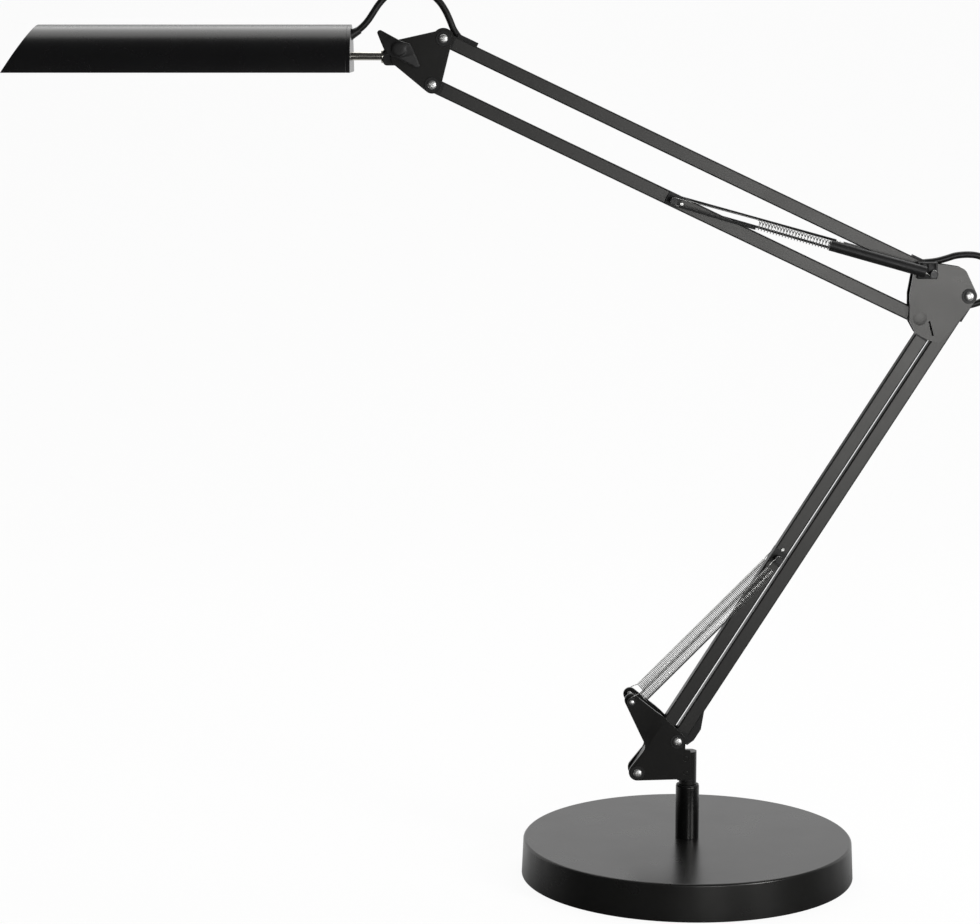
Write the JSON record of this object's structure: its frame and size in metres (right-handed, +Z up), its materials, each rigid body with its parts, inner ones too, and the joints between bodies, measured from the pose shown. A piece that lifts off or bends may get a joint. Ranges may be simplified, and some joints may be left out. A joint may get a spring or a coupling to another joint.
{
  "type": "balanced arm desk lamp",
  "caption": "Black desk lamp with a round weighted base, spring-balanced parallelogram arms and a half-round trough head.",
  "frame": {"origin": "middle of the underside of the base's pad, where the lamp stands", "axes": "+Z up; the arms lie in the XZ plane, with the head reaching towards -X; +X is to the right in the picture and +Y points away from its camera"},
  "size_m": [0.5879, 0.2028, 0.5402],
  "materials": {
    "black_satin_paint": "satin powder coat",
    "rod_paint": "satin powder coat",
    "shade_paint": "satin paint",
    "socket_black": "semi-gloss paint",
    "cast_weight": "as cast",
    "foam_pad": "matte",
    "zinc_steel": "bright zinc",
    "black_steel": "black oxide",
    "spring_steel": "bright drawn wire",
    "stem_steel": "polished",
    "black_nylon": "moulded",
    "flex_rubber": "smooth",
    "bare_aluminium": "mill finish",
    "board_white": "solder mask",
    "led_yellow": "phosphor",
    "opal_diffuser": "opal"
  },
  "bodies": {
    "base": {"base_cover": "black_satin_paint", "base_weight": "cast_weight", "base_pad": "foam_pad", "socket_tube": "socket_black", "socket_nut": "zinc_steel", "swivel_bush": "black_nylon"},
    "lower_bracket": {"bracket_core": "black_satin_paint", "lower_plate_front": "black_satin_paint", "lower_plate_rear": "black_satin_paint", "lower_pivot_screws": "zinc_steel", "lower_pivot_nuts": "zinc_steel", "bracket_rivets": "black_satin_paint", "lower_spring_studs": "zinc_steel"},
    "lower_rod_right": {"lower_rod_right": "rod_paint", "lower_rod_right_ends": "black_nylon", "lower_flex_bushes": "black_nylon", "flex_in_lower_rod": "flex_rubber"},
    "lower_rod_left": {"lower_rod_left": "rod_paint", "lower_rod_left_ends": "black_nylon", "lower_spring_pin": "black_steel", "lower_spring_front": "spring_steel", "lower_spring_rear": "spring_steel"},
    "elbow": {"elbow_plate_front": "black_satin_paint", "elbow_plate_rear": "black_satin_paint", "elbow_screw": "zinc_steel", "elbow_nut": "zinc_steel", "elbow_rivets": "black_satin_paint", "elbow_spring_pin": "black_steel", "flex_elbow_upper": "flex_rubber", "flex_elbow_lower": "flex_rubber"},
    "upper_rod_top": {"upper_rod_top": "rod_paint", "upper_rod_top_ends": "black_nylon", "upper_flex_bushes": "black_nylon", "flex_in_upper_rod": "flex_rubber"},
    "upper_rod_bottom": {"upper_rod_bottom": "rod_paint", "upper_rod_bottom_ends": "black_nylon", "upper_spring_pin": "black_steel", "upper_spring_front": "spring_steel", "upper_spring_rear": "spring_steel"},
    "head_bracket": {"head_plate_front": "black_satin_paint", "head_plate_rear": "black_satin_paint", "head_pivot_screws": "zinc_steel", "head_pivot_nuts": "zinc_steel", "tilt_bolt": "zinc_steel", "wing_nut": "black_nylon", "flex_head_arm": "flex_rubber"},
    "head_swivel": {"swivel_knuckle": "black_nylon", "swivel_stem": "stem_steel", "flex_head_middle": "flex_rubber"},
    "shade": {"shade_shell": "shade_paint", "shade_end_cap": "shade_paint", "shade_tip_cap": "shade_paint", "led_tray": "bare_aluminium", "led_board": "board_white", "led_chips": "led_yellow", "diffuser": "opal_diffuser", "flex_gland": "black_nylon", "flex_head_shade": "flex_rubber"}
  },
  "joints": [
    {"name": "base_swivel", "type": "hinge", "parent": "base", "child": "lower_bracket", "pos_m": [0, 0, 0.056], "axis": [0, 0, 1], "continuous": true},
    {"name": "lower_arm", "type": "hinge", "parent": "lower_bracket", "child": "lower_rod_right", "pos_m": [-0.00683, 0, 0.08416], "axis": [0, -1, 0], "range_deg": [-3, 50]},
    {"name": "lower_arm_left", "type": "hinge", "parent": "lower_bracket", "child": "lower_rod_left", "pos_m": [-0.031, 0, 0.0645], "axis": [0, -1, 0], "range_deg": [-3, 50], "deforming": ["lower_spring_front", "lower_spring_rear"]},
    {"name": "elbow_level", "type": "hinge", "parent": "lower_rod_right", "child": "elbow", "pos_m": [0.16399, 0, 0.35594], "axis": [0, -1, 0], "range_deg": [-50, 3], "deforming": ["flex_elbow_lower"]},
    {"name": "upper_arm", "type": "hinge", "parent": "elbow", "child": "upper_rod_top", "pos_m": [0.1416, 0, 0.3695], "axis": [0, -1, 0], "range_deg": [-52, 30], "deforming": ["flex_elbow_upper"]},
    {"name": "upper_arm_bottom", "type": "hinge", "parent": "elbow", "child": "upper_rod_bottom", "pos_m": [0.1349, 0, 0.3427], "axis": [0, -1, 0], "range_deg": [-52, 30], "deforming": ["upper_spring_front", "upper_spring_rear"]},
    {"name": "head_level", "type": "hinge", "parent": "upper_rod_top", "child": "head_bracket", "pos_m": [-0.14825, 0, 0.50744], "axis": [0, -1, 0], "range_deg": [-30, 52], "deforming": ["flex_head_arm"]},
    {"name": "head_tilt", "type": "hinge", "parent": "head_bracket", "child": "head_swivel", "pos_m": [-0.1745, 0, 0.5014], "axis": [0, -1, 0], "range_deg": [-40, 60], "deforming": ["flex_head_middle"]},
    {"name": "shade_roll", "type": "hinge", "parent": "head_swivel", "child": "shade", "pos_m": [-0.2, 0, 0.4972], "axis": [1, 0, 0], "range_deg": [-90, 90], "deforming": ["flex_head_shade"]}
  ],
  "couplings": [
    {"joint": "lower_arm_left", "follows": "lower_arm", "ratio": 1},
    {"joint": "elbow_level", "follows": "lower_arm", "ratio": -1},
    {"joint": "upper_arm_bottom", "follows": "upper_arm", "ratio": 1},
    {"joint": "head_level", "follows": "upper_arm", "ratio": -1}
  ]
}
